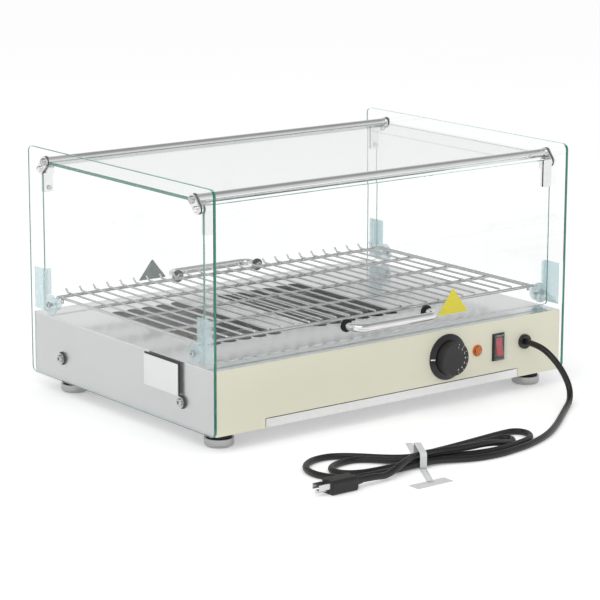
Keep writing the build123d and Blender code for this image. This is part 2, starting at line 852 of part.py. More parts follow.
def element_leg_x():
    return [centre + side * spread / 2
            for centre, spread in zip(element_centres(), element_spread) for side in (-1, 1)]


def heating_element(centre, spread):
    """tubular element bent once at the rear, its two ends through the baffle"""
    near_y = baffle_y - element_tail
    path = FilletPolyline(
        (centre - spread / 2, near_y, element_z), (centre - spread / 2, element_rear, element_z),
        (centre + spread / 2, element_rear, element_z), (centre + spread / 2, near_y, element_z),
        radius=element_bend)
    return tube_along(path, element_diameter)


def element_hanger(centre, spread, y):
    """upright strip under the deck that carries both legs of an element"""
    half = spread / 2 + hanger_margin
    span = (y, y + hanger_sheet)
    strip = block((centre - half, centre + half), span, (element_z - hanger_margin, deck_under_z))
    for x in (centre - spread / 2, centre + spread / 2):
        strip -= rod_y(x, span, element_z, hole(element_diameter))
    return strip


def sensor_bulb():
    """thermostat bulb along the rear of the baffle, with its capillary through to the thermostat"""
    y = baffle_y + sheet + bulb_diameter / 2
    bulb = rod_x((-bulb_length / 2, bulb_length / 2), y, bulb_z, bulb_diameter)
    path = FilletPolyline((bulb_length / 2, y, bulb_z), (dial_x, y, bulb_z), (dial_x, thermostat_rear_y, bulb_z),
                          radius=capillary_bend)
    return bulb + tube_along(path, capillary_diameter)


def terminal_ways_x():
    way = (terminal_width - terminal_wall) / terminal_ways
    start = terminal_x - terminal_width / 2 + terminal_wall / 2
    return [start + way * (i + 1 / 2) for i in range(terminal_ways)]


def terminal_block():
    """block with one groove for each wire"""
    half_depth = terminal_depth / 2
    half_width = terminal_width / 2
    y = (terminal_y - half_depth, terminal_y + half_depth)
    top_z = floor_z + terminal_tall
    body = block((terminal_x - half_width, terminal_x + half_width), y, (floor_z, top_z))
    way_half = (terminal_width - terminal_wall) / terminal_ways / 2 - terminal_wall / 2
    for x in terminal_ways_x():
        body -= block((x - way_half, x + way_half), y, (top_z - terminal_groove, top_z))
    return body


def wiring_loom():
    """wires from the gland, switch and thermostat to the terminal block, and to the elements"""
    end_z = floor_z + terminal_tall - terminal_groove
    ways = terminal_ways_x()
    legs = element_leg_x()
    near_y = baffle_y - element_tail
    gland_rear_y = panel_face_y + gland_neck_depth
    switch_rear_y = panel_face_y + switch_body_depth
    routes = (
        ((gland_x, gland_rear_y, gland_z), (gland_x, terminal_y - terminal_depth, gland_z),
         (ways[0], terminal_y, gland_z), (ways[0], terminal_y, end_z)),
        ((switch_x, switch_rear_y, switch_wire_z), (switch_x, terminal_y - terminal_depth, switch_wire_z),
         (ways[1], terminal_y, switch_wire_z), (ways[1], terminal_y, end_z)),
        ((thermostat_wire_x, thermostat_rear_y, thermostat_wire_z),
         (thermostat_wire_x, terminal_y - terminal_depth / 2, thermostat_wire_z),
         (ways[2], terminal_y, thermostat_wire_z), (ways[2], terminal_y, end_z)),
        ((legs[2], near_y, element_z), (legs[2], near_y - link_reach, element_z),
         (legs[1], near_y - link_reach, element_z), (legs[1], near_y, element_z)),
        ((legs[0], near_y, element_z), (legs[0], return_y, element_z), (legs[0], return_y, return_z),
         (ways[3], return_y, return_z), (ways[3], terminal_y, return_z), (ways[3], terminal_y, end_z)),
    )
    wires = [tube_along(FilletPolyline(*route, radius=wire_bend), wire_diameter) for route in routes]
    return wires + [rod_y(legs[3], (thermostat_rear_y, near_y), element_z, wire_diameter)]


# Cord: straight runs joined by arcs as large as the two runs beside each corner allow

def corner_radii(points):
    """0.45 of the shorter run, divided by the tangent of half the turn"""
    radii = []
    for before, corner, after in zip(points, points[1:], points[2:]):
        run_in = Vector(*corner) - Vector(*before)
        run_out = Vector(*after) - Vector(*corner)
        half_turn = math.radians(run_in.get_angle(run_out)) / 2
        radii.append(arc_share * min(run_in.length, run_out.length) / math.tan(half_turn))
    return radii


def cord_path(points, name):
    radii = corner_radii(points)
    print(name, "radii", " ".join(f"{radius:.0f}" for radius in radii))
    path = FilletPolyline(*points, radius=radii)
    print(name, "length", round(path.length, 1))
    return path


def cord_tube(path, name):
    tube = tube_along(path, cord_diameter)
    expected = path.length * math.pi * (cord_diameter / 2) ** 2
    print(name, "volume", round(tube.volume), "section times length", round(expected))
    return tube


def least_gap(path, step, skip):
    """smallest distance between the tube's surfaces, measured on points along its path"""
    count = int(path.length / step)
    points = [path @ (i / count) for i in range(count + 1)]
    gaps = [(points[i] - points[j]).length for i in range(count + 1) for j in range(i + skip, count + 1)]
    return min(gaps) - cord_diameter


def lobe(centre, reach, spread, lean, turn_from, turn_to, corners, z):
    """corners of one end loop of the hank, evenly spaced round a leaning ellipse"""
    points = []
    for i in range(corners):
        angle = math.radians(turn_from + (turn_to - turn_from) * i / (corners - 1))
        x = reach * math.cos(angle)
        points.append((centre[0] + x, centre[1] + spread * math.sin(angle) + lean * x, z))
    return points


def waist_pass(offset, heading, z):
    """the two ends of a strand's straight run through the tie; heading is -1 to the left, 1 to the right"""
    y = waist_y + offset * strand_pitch
    run = waist_run + (outer_strand - abs(offset)) * waist_run_step
    return [(waist_x - heading * run, y, z), (waist_x + heading * run, y, z)]


def hank_points():
    """one unbroken route: out and back twice through the tie, then over the top to the plug"""
    low = cord_diameter / 2
    tied = low + waist_lift
    points = [cord_join, (*hank_entry, low)]
    for front_flank, left, right, offset in hank_loops:
        points.append((*front_flank, low))
        points += waist_pass(-offset, -1, tied)
        points += lobe(*left, left_turn[0], left_turn[1], left_corners, low)
        points += waist_pass(offset, 1, tied)
        points.append((back_flank[0], back_flank[1] + (offset - outer_strand) * strand_pitch, low))
        points += lobe(*right, right_turn[0], right_turn[1], right_corners, low)
    high = low + layer_rise
    points += [(*top_flank[0], high), (*top_flank[1], high)]
    points += waist_pass(-1, -1, tied + layer_rise)
    points += [(*descent[0], high), (*descent[1], low + waist_lift)]
    points += [(plug_entry[0] + plug_run, plug_entry[1], plug_height / 2), (*plug_entry, plug_height / 2)]
    return points


# Tie and plug

def tie_frame():
    """plane at the waist with X along the tie and Z up"""
    turn = math.radians(tie_turn)
    along = (math.sin(turn), math.cos(turn), 0)
    return Plane(origin=(waist_x, waist_y, 0), x_dir=along, z_dir=(0, 0, 1))


def cord_tie():
    """strap round the waist of the hank, with a long tail each way and a bare tag on the front one"""
    turn = math.radians(tie_turn)
    strands_half = outer_strand * strand_pitch + cord_diameter / 2 + tie_gap
    half = strands_half / math.cos(turn) + tie_width / 2 * math.tan(turn)
    top = cord_diameter + waist_lift + layer_rise + tie_gap
    outer = half + tie_thickness
    width = (-tie_width / 2, tie_width / 2)
    ring = block((-outer, outer), width, (0, top + tie_thickness))
    ring = fillet(ring.edges().filter_by(Axis.Y).sort_by(Axis.Z)[-2:], tie_corner + tie_thickness)
    inner = block((-half, half), width, (tie_thickness, top))
    ring -= fillet(inner.edges().filter_by(Axis.Y).sort_by(Axis.Z)[-2:], tie_corner)
    ring += block((-outer - tie_front_tail, -half), width, (0, tie_thickness))
    ring += block((half, outer + tie_rear_tail), width, (0, tie_thickness))
    return tie_frame() * ring


def tie_tag():
    """bare tag on the end of the front tail, its long side along X"""
    end = tie_frame().from_local_coords(Vector(-tie_front_tail - tag_setback, 0, 0))
    return block((end.X - tag_length / 2, end.X + tag_length / 2), (end.Y - tag_width, end.Y),
                 (0, tie_thickness))


def cord_plug():
    """moulded plug lying on its side, with two flat blades and a round pin"""
    x, y = plug_entry
    z = plug_height / 2
    neck = Pos(x - plug_neck_length / 2, y, z) * Rot(0, -90, 0) * Cone(
        plug_neck_front / 2, plug_neck_diameter / 2, plug_neck_length)
    body_x = (x - plug_neck_length - plug_length, x - plug_neck_length)
    body = block(body_x, (y - plug_width / 2, y + plug_width / 2), (0, plug_height))
    body = fillet(body.edges().filter_by(Axis.X), plug_taper)
    body = fillet(body.faces().sort_by(Axis.X)[-1].edges(), plug_taper / 2)
    plug = body + neck
    prong_x = (body_x[0] - prong_length, body_x[0])
    for side in (-1, 1):
        blade_y = y + side * prong_spacing / 2
        plug += block(prong_x, (blade_y - prong_thickness / 2, blade_y + prong_thickness / 2),
                      (z + earth_pin_offset / 2 - prong_width / 2, z + earth_pin_offset / 2 + prong_width / 2))
    return plug + rod_x(prong_x, y, z - earth_pin_offset / 2, earth_pin_diameter)


# Write every piece

cord_join = tuple(middle(pair) for pair in zip(cord_route[-1], (*hank_entry, cord_diameter / 2)))
os.makedirs("parts", exist_ok=True)

right_glass = side_glass()
write("side_glass_right", right_glass)
write("side_glass_left", other_side(right_glass))
write("top_glass", top_glass())
write("top_rail_front", top_rail())
write("top_rail_rear", other_end(top_rail()))
rail_screw = domed_screw(hinge_outer_x, rail_half_length - rail_screw_reach, -rail_y, rail_z,
                         rail_screw_diameter, rail_screw_head, rail_screw_proud)
write("rail_screws", *four_corners(rail_screw))
write("hinge_plates", *four_corners(hinge_plate_at(glass_outer_x)),
      *four_corners(hinge_plate_at(rail_half_length)))
write("hinge_pins", *four_corners(hinge_pin()))
write("hinge_spacers", *four_corners(hinge_spacer()))

door_pieces = {
    "door_glass": [door_glass()],
    "door_clips": left_and_right(door_clip()),
    "door_handle": [door_handle()],
    "handle_washers": left_and_right(handle_washer(handle_spacing / 2)),
    "door_screws": left_and_right(set_screw()) + left_and_right(handle_screw(handle_spacing / 2)),
}
for name, pieces in door_pieces.items():
    write("front_" + name, *pieces)
    write("rear_" + name, *[other_end(piece) for piece in pieces])
write("door_stops", *four_corners(door_stop()))

write("rack_pegs", *four_corners(rack_peg()))
write("peg_screws", *four_corners(peg_screw()))
write("rack_frame", rack_frame())
write("rack_wires", *rack_wires())
write("rack_legs", *four_corners(rack_leg()))

right_wall = base_side()
write("base_side_right", right_wall)
write("base_side_left", other_side(right_wall))
write("base_back", block((-base_half_width, base_half_width), (base_rear_y, base_half_depth),
                         (base_z, deck_under_z)))
write("front_panel", front_panel())
write("deck_plate", deck_plate())
write("bottom_plate", bottom_plate())
write("heat_baffle", heat_baffle())
write("crumb_tray", crumb_tray())
write("tray_runners", *left_and_right(tray_runner()))
write("base_bolts", *four_corners(base_bolt()))
nut = washer((inner_half_width - nut_height, inner_half_width), nut_diameter)
pad = washer((base_half_width, glass_inner_x), pad_diameter)
outside_washer = washer((glass_outer_x, glass_outer_x + bolt_washer_thickness), bolt_washer_diameter)
write("base_nuts", *four_corners(nut))
write("glass_pads", *four_corners(pad))
write("bolt_washers", *four_corners(outside_washer))

foot_places = [(x, y) for x in (-foot_x, foot_x) for y in (foot_front_y, foot_rear_y)]
write("foot_discs", *[foot_disc(x, y) for x, y in foot_places])
write("foot_necks", *[foot_neck(x, y) for x, y in foot_places])

write("dial_bezel", dial_bezel())
write("control_knob", control_knob())
write("thermostat_shaft", thermostat_shaft())
write("thermostat_body", thermostat_body())
write("lamp_lens", lamp_lens())
write("lamp_body", lamp_body())
write("switch_frame", switch_frame())
write("switch_rocker", switch_rocker())
write("switch_cover", switch_cover())
write("cord_gland", cord_gland())

write("heating_elements", *[heating_element(*pair) for pair in zip(element_centres(), element_spread)])
write("element_hangers", *[element_hanger(centre, spread, y)
                           for centre, spread in zip(element_centres(), element_spread) for y in hanger_y])
write("sensor_bulb", sensor_bulb())
write("terminal_block", terminal_block())
write("wiring_loom", *wiring_loom())

route = [(gland_x, gland_face_y, gland_z), *cord_route, cord_join]
write("power_cord", cord_tube(cord_path(route, "power_cord"), "power_cord"))
hank = cord_path(hank_points(), "cord_hank")
print("cord_hank least gap to itself", round(least_gap(hank, gap_step, gap_skip), 2))
write("cord_hank", cord_tube(hank, "cord_hank"))
write("cord_tie", cord_tie() + tie_tag())
write("cord_plug", cord_plug())
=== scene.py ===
# %% [markdown]
# A heated display case for a shop counter: a glass box on a low warming base, with its spare cord tied
# in front of it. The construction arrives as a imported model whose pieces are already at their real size
# and place, in metres. This lesson gives those pieces their finishes and adds what is too thin or too
# soft for a construction model. With the model loaded first, nothing here has to be fitted.

# %% Load the construction model
import bpy
import math
from mathutils import Matrix, Vector


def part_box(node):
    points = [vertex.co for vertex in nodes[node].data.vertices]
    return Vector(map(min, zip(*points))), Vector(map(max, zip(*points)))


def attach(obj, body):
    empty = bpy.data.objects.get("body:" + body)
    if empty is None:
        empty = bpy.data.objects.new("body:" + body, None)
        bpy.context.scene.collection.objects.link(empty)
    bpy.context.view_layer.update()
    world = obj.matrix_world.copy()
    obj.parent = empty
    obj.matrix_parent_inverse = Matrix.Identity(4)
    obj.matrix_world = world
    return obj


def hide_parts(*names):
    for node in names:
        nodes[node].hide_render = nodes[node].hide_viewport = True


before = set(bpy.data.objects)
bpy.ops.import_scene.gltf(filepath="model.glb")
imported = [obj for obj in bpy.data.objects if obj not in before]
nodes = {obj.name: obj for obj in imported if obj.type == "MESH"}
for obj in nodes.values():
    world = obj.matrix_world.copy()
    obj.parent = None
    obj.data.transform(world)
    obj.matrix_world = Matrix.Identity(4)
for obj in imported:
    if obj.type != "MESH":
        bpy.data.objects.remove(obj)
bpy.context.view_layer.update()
MM = 0.001

# %% [markdown]
# The camera comes before everything else, because it decides what a visitor sees of each finish.
# A long lens from far away, as a shop photograph uses, keeps the near and far edges almost parallel.
# Its place is measured from the model's origin, and its direction is a heading, a tilt and a small roll.

# %% Camera
camera_place = Vector((-1.9154, -2.4971, 0.8276))
heading = math.radians(37.476)
tilt = math.radians(12.766)
roll = math.radians(0.142)
lens = 149.63

forward = Vector((math.sin(heading) * math.cos(tilt), math.cos(heading) * math.cos(tilt), -math.sin(tilt)))
level_right = Vector((math.cos(heading), -math.sin(heading), 0))
level_up = level_right.cross(forward)
right = level_right * math.cos(roll) + level_up * math.sin(roll)
up = level_up * math.cos(roll) - level_right * math.sin(roll)
camera_data = bpy.data.cameras.new("camera")
camera_data.sensor_width = 36.0
camera_data.lens = lens
camera_data.clip_end = 50.0
camera = bpy.data.objects.new("camera", camera_data)
bpy.context.scene.collection.objects.link(camera)
camera.matrix_world = Matrix((
    (right.x, up.x, -forward.x, camera_place.x),
    (right.y, up.y, -forward.y, camera_place.y),
    (right.z, up.z, -forward.z, camera_place.z),
    (0, 0, 0, 1),
))
bpy.context.scene.camera = camera
print("camera", round(camera_place.length, 3), "m away, lens", lens)

# %% [markdown]
# The mains cord is one flexible length. It leaves the collar on the front panel, drops to the counter,
# runs along it and is folded into a hank that a strap holds at its waist. A smooth spline with the same
# corner points as the construction model follows it: a short list for the free part, and a formula for
# the loops, because loops made by one rule with slowly changing sizes look like one cord folded by hand.

# %% Cord: the free part
depth_shift = 4.4
cord_diameter = 8.0
gland_exit = (212.0, -205.3, 67.0)
free_route = [
    (212.0, -228.0, 67.0),
    (214.0, -249.0, 58.0),
    (220.0, -264.0, 41.0),
    (223.0, -276.0, 21.0),
    (213.0, -288.0, 7.0),
    (192.0, -303.0, 4.0),
    (162.0, -327.0, 4.2),
    (124.0, -357.0, 4.0),
    (84.0, -383.0, 4.1),
    (40.0, -399.5, 4.0),
]
hank_entry = (-10.0, -408.0)
cord_join = tuple((a + b) / 2 for a, b in zip(free_route[-1], (*hank_entry, cord_diameter / 2)))
print("free corners", len(free_route))

# %% [markdown]
# The rest of the cord lies in a flat hank: out and back twice through the strap, and once over the top to
# the plug. A real hank is folded by hand, so its loops are ellipses of several sizes and not copies of
# one. Near the strap each strand has a short straight run, longer for the strands in the middle.

# %% Cord: the loops of the hank
waist_x = -106.0
waist_y = -372.0
strand_pitch = 9.2
layer_rise = 9.2
waist_lift = 1.4
waist_run = 15.0
waist_run_step = 6.0
outer_strand = 1.5
hank_loops = (
    # front flank; left loop and right loop, each its centre, reach, spread and lean; place at the waist
    ((-50.0, -404.5), ((-192.0, -339.0), 48.0, 47.0, 0.0), ((48.0, -364.0), 26.0, 21.0, 0.25), 1.5),
    ((-14.0, -396.5), ((-176.0, -347.5), 40.0, 26.0, 0.0), ((26.0, -368.0), 15.0, 12.5, 0.15), 0.5),
)
left_turn = (-100.0, -300.0)
right_turn = (85.0, -85.0)
lobe_corners = 6
back_flank = (-40.0, -352.0)
top_flank = ((-12.0, -387.0), (-52.0, -387.0))
descent = ((-152.0, -393.5), (-178.0, -400.0))
plug_entry = (-217.0, -401.0)
plug_run = 18.0
plug_centre = 8.5


def lobe(centre, reach, spread, lean, turn, height):
    """corners of one end loop, evenly spaced round a leaning ellipse"""
    points = []
    for i in range(lobe_corners):
        angle = math.radians(turn[0] + (turn[1] - turn[0]) * i / (lobe_corners - 1))
        across = reach * math.cos(angle)
        points.append((centre[0] + across, centre[1] + spread * math.sin(angle) + lean * across, height))
    return points


def waist_pass(strand, direction, height):
    """both ends of a strand's straight run through the strap"""
    y = waist_y + strand * strand_pitch
    run = waist_run + (outer_strand - abs(strand)) * waist_run_step
    return [(waist_x - direction * run, y, height), (waist_x + direction * run, y, height)]


low = cord_diameter / 2
high = low + layer_rise
tied = low + waist_lift
route = [gland_exit, *free_route, cord_join, (*hank_entry, low)]
for front_flank, left_loop, right_loop, strand in hank_loops:
    route.append((*front_flank, low))
    route += waist_pass(-strand, -1, tied) + lobe(*left_loop, left_turn, low)
    route += waist_pass(strand, 1, tied)
    route.append((back_flank[0], back_flank[1] + (strand - outer_strand) * strand_pitch, low))
    route += lobe(*right_loop, right_turn, low)
route += [(*place, high) for place in top_flank] + waist_pass(-1, -1, tied + layer_rise)
route += [(*descent[0], high), (*descent[1], tied)]
route += [(plug_entry[0] + plug_run, plug_entry[1], plug_centre), (*plug_entry, plug_centre)]
print("cord corners", len(route))

# %% [markdown]
# A curve with a round bevel is the plainest cord: its points are few and its line is smooth. The radius of
# a point also widens the box that Blender gives for a curve, so it is a thousandth here and the bevel is a
# thousand times larger, which gives the same cord.

# %% Cord: the spline
def row_place(point):
    """millimetres from mid depth to metres in the model's frame"""
    return Vector((point[0] * MM, (point[1] + depth_shift) * MM, point[2] * MM))


cord_curve = bpy.data.curves.new("mains_cord", "CURVE")
cord_curve.dimensions = "3D"
point_radius = 0.001
cord_curve.bevel_depth = cord_diameter / 2 * MM / point_radius
cord_curve.bevel_resolution = 5
cord_curve.resolution_u = 14
cord_curve.use_fill_caps = True
cord_line = cord_curve.splines.new("NURBS")
cord_line.points.add(len(route) - 1)
for spline_point, corner in zip(cord_line.points, route):
    spline_point.co = (*row_place(corner), 1.0)
    spline_point.radius = point_radius
cord_line.order_u = 3
cord_line.use_endpoint_u = True
mains_cord = bpy.data.objects.new("mains_cord", cord_curve)
bpy.context.scene.collection.objects.link(mains_cord)
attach(mains_cord, "case")
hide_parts("power_cord", "cord_hank")
print("cord spline points", len(cord_line.points))

# %% [markdown]
# Every finish below is a small network of shader nodes. Written as sums, such as 1 - mask or grain * 0.1,
# such a network is easier to read than a list of links, so one class wraps a socket and turns Python's
# signs into Math nodes.

# %% Sums of shader values
class Wire:
    """a value that flows between shader nodes, for use in sums"""

    def __init__(self, finish, socket):
        self.finish = finish
        self.socket = socket

    def math(self, operation, *others, first=None):
        values = [self, *others] if first is None else [first, self]
        return self.finish.node("ShaderNodeMath", {"operation": operation}, dict(enumerate(values)))

    def __add__(self, other):
        return self.math("ADD", other)

    def __radd__(self, other):
        return self.math("ADD", first=other)

    def __sub__(self, other):
        return self.math("SUBTRACT", other)

    def __rsub__(self, other):
        return self.math("SUBTRACT", first=other)

    def __mul__(self, other):
        return self.math("MULTIPLY", other)

    def __gt__(self, other):
        return self.math("GREATER_THAN", other)

    def __lt__(self, other):
        return self.math("LESS_THAN", other)

    def __abs__(self):
        return self.math("ABSOLUTE")


# %% [markdown]
# A second class makes any other node: its settings first, then what feeds it. Its shorter methods are the
# few nodes that nearly every finish here needs, such as noise, a mix of two colours and a bump.

# %% A finish, node by node
class Finish:
    """one material, made node by node"""

    def __init__(self, name):
        self.material = bpy.data.materials.new(name)
        self.material.use_nodes = True
        self.tree = self.material.node_tree
        self.tree.nodes.clear()

    def node(self, kind, settings, inputs, output=0):
        made = self.tree.nodes.new(kind)
        for key, value in settings.items():
            setattr(made, key, value)
        for key, value in inputs.items():
            if isinstance(value, Wire):
                self.tree.links.new(value.socket, made.inputs[key])
            else:
                made.inputs[key].default_value = value
        return Wire(self, made.outputs[output])

    def place(self, scale):
        """the piece's own coordinates in metres, stretched"""
        own = self.node("ShaderNodeTexCoord", {}, {}, "Object")
        return self.node("ShaderNodeMapping", {}, {"Vector": own, "Scale": scale})

    def facing(self, axis):
        """how squarely a face looks along one axis of the piece, from 0 to 1"""
        normal = self.node("ShaderNodeTexCoord", {}, {}, "Normal")
        return abs(self.node("ShaderNodeSeparateXYZ", {}, {"Vector": normal}, axis))

    def noise(self, scale, size=1.0, detail=3.0):
        """soft random variation, 0 to 1; scale stretches it along each axis"""
        inputs = {"Vector": self.place(scale), "Scale": size, "Detail": detail}
        return self.node("ShaderNodeTexNoise", {}, inputs)

    def mix(self, share, one, other):
        return self.node("ShaderNodeMix", {"data_type": "RGBA"}, {0: share, 6: one, 7: other}, 2)

    def bump(self, height, depth_mm, strength=0.6):
        """raises the surface by height times a depth in millimetres"""
        inputs = {"Height": height, "Strength": strength, "Distance": depth_mm * MM}
        return self.node("ShaderNodeBump", {}, inputs)

    def shader(self, **values):
        """a Principled shader; base_color stands for its socket Base Color, and so on"""
        inputs = {}
        for key, value in values.items():
            inputs[key.replace("_", " ").title().replace("Ior", "IOR")] = value
        return self.node("ShaderNodeBsdfPrincipled", {}, inputs)

    def blend(self, share, one, other):
        return self.node("ShaderNodeMixShader", {}, {0: share, 1: one, 2: other})

    def done(self, shader):
        surface = self.tree.nodes.new("ShaderNodeOutputMaterial").inputs["Surface"]
        self.tree.links.new(shader.socket, surface)
        return self.material


# %% [markdown]
# Colours are easiest to choose as a screen shows them, from 0 to 255. A shader adds up light instead, so
# one function turns the one into the other.

# %% Colours
def paint(red, green, blue):
    """a colour as a screen shows it, as the light values that a shader uses"""
    def light(value):
        share = value / 255
        return share / 12.92 if share <= 0.04045 else ((share + 0.055) / 1.055) ** 2.4
    return (light(red), light(green), light(blue), 1.0)


def grey(tone):
    return paint(tone, tone, tone)


print("half grey as a light value", round(grey(128)[0], 3))

# %% [markdown]
# A finish belongs to a node's object and not to its mesh, so that the construction model stays as it was
# packed. One helper gives a material to a list of nodes.

# %% Give a finish to nodes
dressed = set()


def dress(material, *names):
    for name in names:
        piece = nodes[name]
        if not piece.material_slots:
            piece.data.materials.append(material)
        for slot in piece.material_slots:
            slot.link = "OBJECT"
            slot.material = material
        dressed.add(name)
    print(material.name, "on", len(names), "nodes")


# %% [markdown]
# Float glass is almost without colour when seen through its 4 mm, but its edges look through hundreds of
# millimetres of glass and turn deep green. One material holds both: a mask that is 1 where a face looks
# along the pane and not through it changes clear glass for a ground, green edge. The edges that don't
# face along deep_axis are a paler green, which is a painted highlight. Lamp light goes straight through
# the panes, as it does through real thin glass, so what is inside stays evenly lit.

# %% Float glass with green ground edges
def float_glass(name, axis, deep_axis):
    finish = Finish(name)
    edge = finish.facing(axis) < 0.7
    clear = finish.shader(
        base_color=paint(254, 255, 255), roughness=0.0, ior=1.42, transmission_weight=1.0,
    )
    streaks = finish.noise((1, 1, 1), 55.0)
    deep = finish.mix(streaks, paint(18, 112, 88), paint(44, 148, 122))
    # pale: a paler green on the edges that don't face along deep_axis, a painted highlight
    pale = finish.mix(streaks, paint(96, 196, 188), paint(150, 224, 220))
    green = finish.mix(finish.facing(deep_axis) > 0.7, pale, deep)
    ground = finish.shader(
        base_color=green, roughness=0.22 + streaks * 0.12, coat_weight=0.3,
    )
    glass = finish.blend(edge, clear, ground)
    straight = finish.node("ShaderNodeBsdfTransparent", {}, {"Color": paint(254, 255, 255)})
    shadow = finish.node("ShaderNodeLightPath", {}, {}, "Is Shadow Ray")
    spread = finish.node("ShaderNodeLightPath", {}, {}, "Is Diffuse Ray")
    through = shadow.math("MAXIMUM", spread) * (1 - edge * 0.5)
    return finish.done(finish.blend(through, glass, straight))


dress(float_glass("side_float_glass", "X", "Y"), "side_glass_left", "side_glass_right")
dress(float_glass("door_float_glass", "Y", "X"), "front_door_glass", "rear_door_glass")
dress(float_glass("top_float_glass", "Z", "X"), "top_glass")

# %% [markdown]
# Stainless sheet leaves the mill with a fine brushed grain along one direction. The grain is noise
# stretched a hundred times along the sheet, so it shows as hair lines and not as dots. It moves the
# roughness and a very shallow bump, and slow clouds of handling marks lie over it.

# %% Brushed stainless sheet
def brushed_sheet(name, tone, grain_scale, roughness):
    finish = Finish(name)
    grain = finish.noise(grain_scale, 1.0, 4.0)
    clouds = finish.noise((1, 1, 1), 9.0)
    colour = finish.mix(grain * 0.7 + clouds * 0.3, grey(tone - 12), grey(tone + 8))
    return finish.done(finish.shader(
        base_color=colour, metallic=1.0, roughness=roughness + grain * 0.10 + clouds * 0.06,
        normal=finish.bump(grain, 0.01, 0.35),
    ))


dress(
    brushed_sheet("satin_base_sheet", 210, (60, 12, 2600), 0.30),
    "base_side_left", "base_side_right", "base_back", "bottom_plate", "tray_runners", "heat_baffle",
    "element_hangers",
)
dress(brushed_sheet("deck_sheet", 232, (2600, 40, 60), 0.09), "deck_plate")
dress(brushed_sheet("tray_sheet", 232, (30, 2400, 2400), 0.28), "crumb_tray")

# %% [markdown]
# Rails, handles, clips and screw heads are turned or pressed steel, polished and plated. Polish is never
# perfect: faint rings stay from the buffing wheel, and fingers dull it in patches.

# %% Polished metal
def polished_metal(name, tone, roughness):
    finish = Finish(name)
    smudges = finish.noise((1, 1, 1), 45.0, 4.0)
    buffing = finish.noise((3000, 200, 3000), 1.0, 2.0)
    colour = finish.mix(smudges, grey(tone - 8), grey(tone + 6))
    return finish.done(finish.shader(
        base_color=colour, metallic=1.0, roughness=roughness + smudges * 0.08,
        normal=finish.bump(buffing, 0.004, 0.3),
    ))


dress(
    polished_metal("polished_rail", 232, 0.07),
    "top_rail_front", "top_rail_rear", "front_door_handle", "rear_door_handle", "hinge_plates",
    "hinge_pins", "front_door_clips", "rear_door_clips", "thermostat_shaft",
)
dress(
    polished_metal("screw_steel", 190, 0.12),
    "rail_screws", "front_door_screws", "rear_door_screws", "peg_screws", "base_bolts", "base_nuts",
    "bolt_washers",
)
dress(polished_metal("foot_steel", 176, 0.16), "foot_discs")
dress(polished_metal("bright_rack_wire", 206, 0.16), "rack_frame", "rack_wires", "rack_legs")

# %% [markdown]
# The tube of a heating element is steel that its own heat has tinted, from straw to blue and brown.
# Slow noise mixes brown and straw, and where it is highest a share of blue lies over them.

# %% Heat-tinted element tube
def tinted_tube():
    finish = Finish("tinted_element_tube")
    heat = finish.noise((1, 1, 1), 14.0, 4.0)
    straw = finish.mix(heat, paint(92, 84, 78), paint(146, 126, 96))
    blue = paint(88, 92, 112)
    colour = finish.mix((heat > 0.6) * 0.6, straw, blue)
    return finish.done(finish.shader(
        base_color=colour, metallic=1.0, roughness=0.35 + heat * 0.2, normal=finish.bump(heat, 0.02),
    ))


dress(tinted_tube(), "heating_elements", "sensor_bulb")

# %% [markdown]
# The control panel is powder coated in cream. Powder melts into a skin with a very fine orange peel, which
# only shows where a highlight runs over it, so the colour hardly changes and the bump does the work.

# %% Cream powder coat
def powder_coat():
    finish = Finish("cream_powder_coat")
    peel = finish.noise((1, 1, 1), 700.0, 2.0)
    fade = finish.noise((1, 1, 1), 6.0)
    colour = finish.mix(fade, paint(236, 234, 211), paint(242, 240, 219))
    return finish.done(finish.shader(
        base_color=colour, roughness=0.38 + peel * 0.08, coat_weight=0.15 + fade * 0.1,
        normal=finish.bump(peel, 0.02, 0.4),
    ))


dress(powder_coat(), "front_panel")

# %% [markdown]
# Moulded plastics differ in colour, gloss and the texture of their mould. One function makes them all:
# two close colours that drift, a fine mould grain in the bump, and dust-like changes of gloss.

# %% Moulded plastics and rubber
def moulded(name, dark, light, roughness, grain_size=900.0, grain_mm=0.015, coat=0.0):
    finish = Finish(name)
    grain = finish.noise((1, 1, 1), grain_size, 2.0)
    drift = finish.noise((1, 1, 1), 30.0, 4.0)
    return finish.done(finish.shader(
        base_color=finish.mix(drift, paint(*dark), paint(*light)),
        roughness=roughness + drift * 0.08 + grain * 0.05, coat_weight=coat,
        normal=finish.bump(grain, grain_mm, 0.5),
    ))


dress(
    moulded("black_moulding", (16, 16, 17), (26, 26, 27), 0.24),
    "dial_bezel", "switch_frame", "cord_gland", "thermostat_body", "lamp_body",
)
dress(moulded("dark_knob_moulding", (30, 30, 32), (44, 44, 46), 0.36), "control_knob")
# The foot necks take the black rubber too: on them the black is painted shade under the base, between each
# foot's disc and the case.
dress(
    moulded("black_rubber", (18, 18, 18), (32, 32, 32), 0.62, 500.0, 0.03),
    "glass_pads", "front_handle_washers", "rear_handle_washers", "foot_necks",
)
dress(moulded("white_moulding", (216, 216, 214), (232, 232, 230), 0.45), "hinge_spacers", "terminal_block")
dress(moulded("red_rocker_moulding", (178, 30, 50), (204, 48, 66), 0.22, coat=0.5), "switch_rocker")
cord_jacket = moulded("cord_jacket", (14, 14, 15), (30, 30, 31), 0.34, 260.0, 0.05)
cord_curve.materials.append(cord_jacket)

# %% [markdown]
# The plug is one piece in the construction model, prongs included. It lies along X, so a mask on that axis
# tells where its moulding ends: what lies beyond is bare steel, and the rest is black.

# %% Plug with steel prongs
plug_and_neck = 48.0
prong_start = row_place((plug_entry[0] - plug_and_neck, 0, 0)).x


